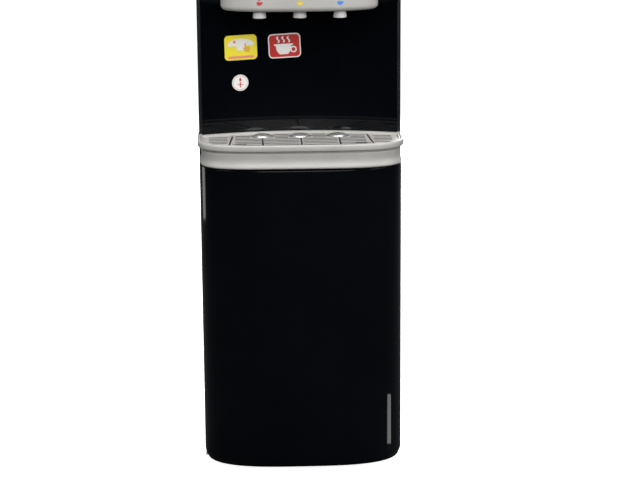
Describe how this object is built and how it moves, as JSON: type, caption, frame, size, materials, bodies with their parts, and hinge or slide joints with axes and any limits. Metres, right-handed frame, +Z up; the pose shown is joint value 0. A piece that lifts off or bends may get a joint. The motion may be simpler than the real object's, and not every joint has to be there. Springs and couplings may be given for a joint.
{
  "type": "floor-standing water dispenser",
  "caption": "Tall water dispenser: bowed storage-cupboard door below, lift-out drip tray on a silver shelf, push-button taps over a concave splash panel, top well for an upturned bottle.",
  "frame": {"origin": "centre of the bounding box at floor level, under the feet", "axes": "+Z up, the front with the taps and the door faces -Y, +X to the right of a person looking at the front"},
  "size_m": [0.314, 0.348, 1],
  "materials": {
    "black_paint": "satin powder coat",
    "gloss_black": "high gloss",
    "silver_plastic": "silver painted",
    "dark_plastic": "matte",
    "white_plastic": "satin",
    "liner_plastic": "matte",
    "stainless": "drawn",
    "zinc_plate": "zinc plated",
    "copper_tube": "drawn copper",
    "rubber": "matte",
    "foam": "foam",
    "hose": "silicone",
    "red_plastic": "gloss",
    "yellow_plastic": "gloss",
    "blue_plastic": "gloss",
    "green_plastic": "gloss",
    "smoked_window": "gloss"
  },
  "bodies": {
    "cabinet": {"ambient_hose": "hose", "ambient_nozzle": "white_plastic", "ambient_spring": "stainless", "ambient_valve_body": "white_plastic", "base_plate": "zinc_plate", "cabinet_liner": "liner_plastic", "cold_hose": "hose", "cold_nozzle": "white_plastic", "cold_spring": "stainless", "cold_tank": "stainless", "cold_tank_jacket": "foam", "cold_valve_body": "white_plastic", "compressor": "black_paint", "condenser_tube": "black_paint", "condenser_wires": "black_paint", "door_hinge_lower": "zinc_plate", "door_hinge_upper": "zinc_plate", "door_magnet": "dark_plastic", "drain_hose": "hose", "drain_spout": "white_plastic", "foot_front_left": "rubber", "foot_front_right": "rubber", "foot_rear_left": "rubber", "foot_rear_right": "rubber", "head_fascia": "gloss_black", "hot_feed_hose": "hose", "hot_hose": "hose", "hot_nozzle": "white_plastic", "hot_spring": "stainless", "hot_tank": "stainless", "hot_valve_body": "white_plastic", "indicator_window": "smoked_window", "power_inlet": "dark_plastic", "rear_cover": "black_paint", "side_panel_left": "black_paint", "side_panel_right": "black_paint", "splash_panel": "gloss_black", "spring_bridge": "zinc_plate", "suction_line": "copper_tube", "switch_plate": "dark_plastic", "tap_housing": "silver_plastic", "top_cover": "gloss_black", "tray_housing": "silver_plastic"},
    "door": {"door_skin": "gloss_black", "door_inner_panel": "dark_plastic", "door_strike": "stainless"},
    "tray": {"drip_tray": "silver_plastic"},
    "grille": {"tray_grille": "silver_plastic"},
    "bottle_seat": {"bottle_seat": "dark_plastic"},
    "lock_slider": {"hot_lock_slider": "red_plastic"},
    "hot_rocker": {"hot_rocker": "red_plastic"},
    "cold_rocker": {"cold_rocker": "green_plastic"},
    "thermostat_knob": {"thermostat_knob": "white_plastic"},
    "drain_cap": {"drain_cap": "dark_plastic"},
    "hot_button": {"hot_button": "red_plastic"},
    "hot_stem": {"hot_valve_stem": "white_plastic"},
    "ambient_button": {"ambient_button": "yellow_plastic"},
    "ambient_stem": {"ambient_valve_stem": "white_plastic"},
    "cold_button": {"cold_button": "blue_plastic"},
    "cold_stem": {"cold_valve_stem": "white_plastic"}
  },
  "joints": [
    {"name": "door_hinge", "type": "hinge", "parent": "cabinet", "child": "door", "pos_m": [-0.15, -0.088, 0.24], "axis": [0, 0, -1], "range_deg": [0, 110]},
    {"name": "tray_lift", "type": "slide", "parent": "cabinet", "child": "tray", "axis": [0, 0, 1], "range_m": [0, 0.12]},
    {"name": "grille_lift", "type": "slide", "parent": "tray", "child": "grille", "axis": [0, 0, 1], "range_m": [0, 0.05]},
    {"name": "bottle_seat_lift", "type": "slide", "parent": "cabinet", "child": "bottle_seat", "axis": [0, 0, 1], "range_m": [0, 0.15]},
    {"name": "hot_button_press", "type": "slide", "parent": "cabinet", "child": "hot_button", "axis": [0, 1, 0], "range_m": [0, 0.005], "stiffness_N_per_m": 600, "springref_m": -0.002},
    {"name": "hot_stem_lift", "type": "slide", "parent": "cabinet", "child": "hot_stem", "axis": [0, 0, 1], "range_m": [0, 0.003], "deforming": ["hot_spring"]},
    {"name": "ambient_button_press", "type": "slide", "parent": "cabinet", "child": "ambient_button", "axis": [0, 1, 0], "range_m": [0, 0.005], "stiffness_N_per_m": 600, "springref_m": -0.002},
    {"name": "ambient_stem_lift", "type": "slide", "parent": "cabinet", "child": "ambient_stem", "axis": [0, 0, 1], "range_m": [0, 0.003], "deforming": ["ambient_spring"]},
    {"name": "cold_button_press", "type": "slide", "parent": "cabinet", "child": "cold_button", "axis": [0, 1, 0], "range_m": [0, 0.005], "stiffness_N_per_m": 600, "springref_m": -0.002},
    {"name": "cold_stem_lift", "type": "slide", "parent": "cabinet", "child": "cold_stem", "axis": [0, 0, 1], "range_m": [0, 0.003], "deforming": ["cold_spring"]},
    {"name": "lock_slide", "type": "slide", "parent": "cabinet", "child": "lock_slider", "axis": [1, 0, 0], "range_m": [0, 0.008]},
    {"name": "hot_switch", "type": "hinge", "parent": "cabinet", "child": "hot_rocker", "pos_m": [-0.06, 0.1495, 0.305], "axis": [1, 0, 0], "range_deg": [0, 18]},
    {"name": "cold_switch", "type": "hinge", "parent": "cabinet", "child": "cold_rocker", "pos_m": [-0.04, 0.1495, 0.305], "axis": [1, 0, 0], "range_deg": [0, 18]},
    {"name": "thermostat_turn", "type": "hinge", "parent": "cabinet", "child": "thermostat_knob", "pos_m": [0.02, 0.15, 0.305], "axis": [0, 1, 0], "range_deg": [0, 270]},
    {"name": "drain_cap_turn", "type": "hinge", "parent": "cabinet", "child": "drain_cap", "pos_m": [0.095, 0.16, 0.29], "axis": [0, 1, 0], "continuous": true}
  ],
  "couplings": [
    {"joint": "hot_stem_lift", "follows": "hot_button_press", "ratio": 0.6},
    {"joint": "ambient_stem_lift", "follows": "ambient_button_press", "ratio": 0.6},
    {"joint": "cold_stem_lift", "follows": "cold_button_press", "ratio": 0.6}
  ]
}
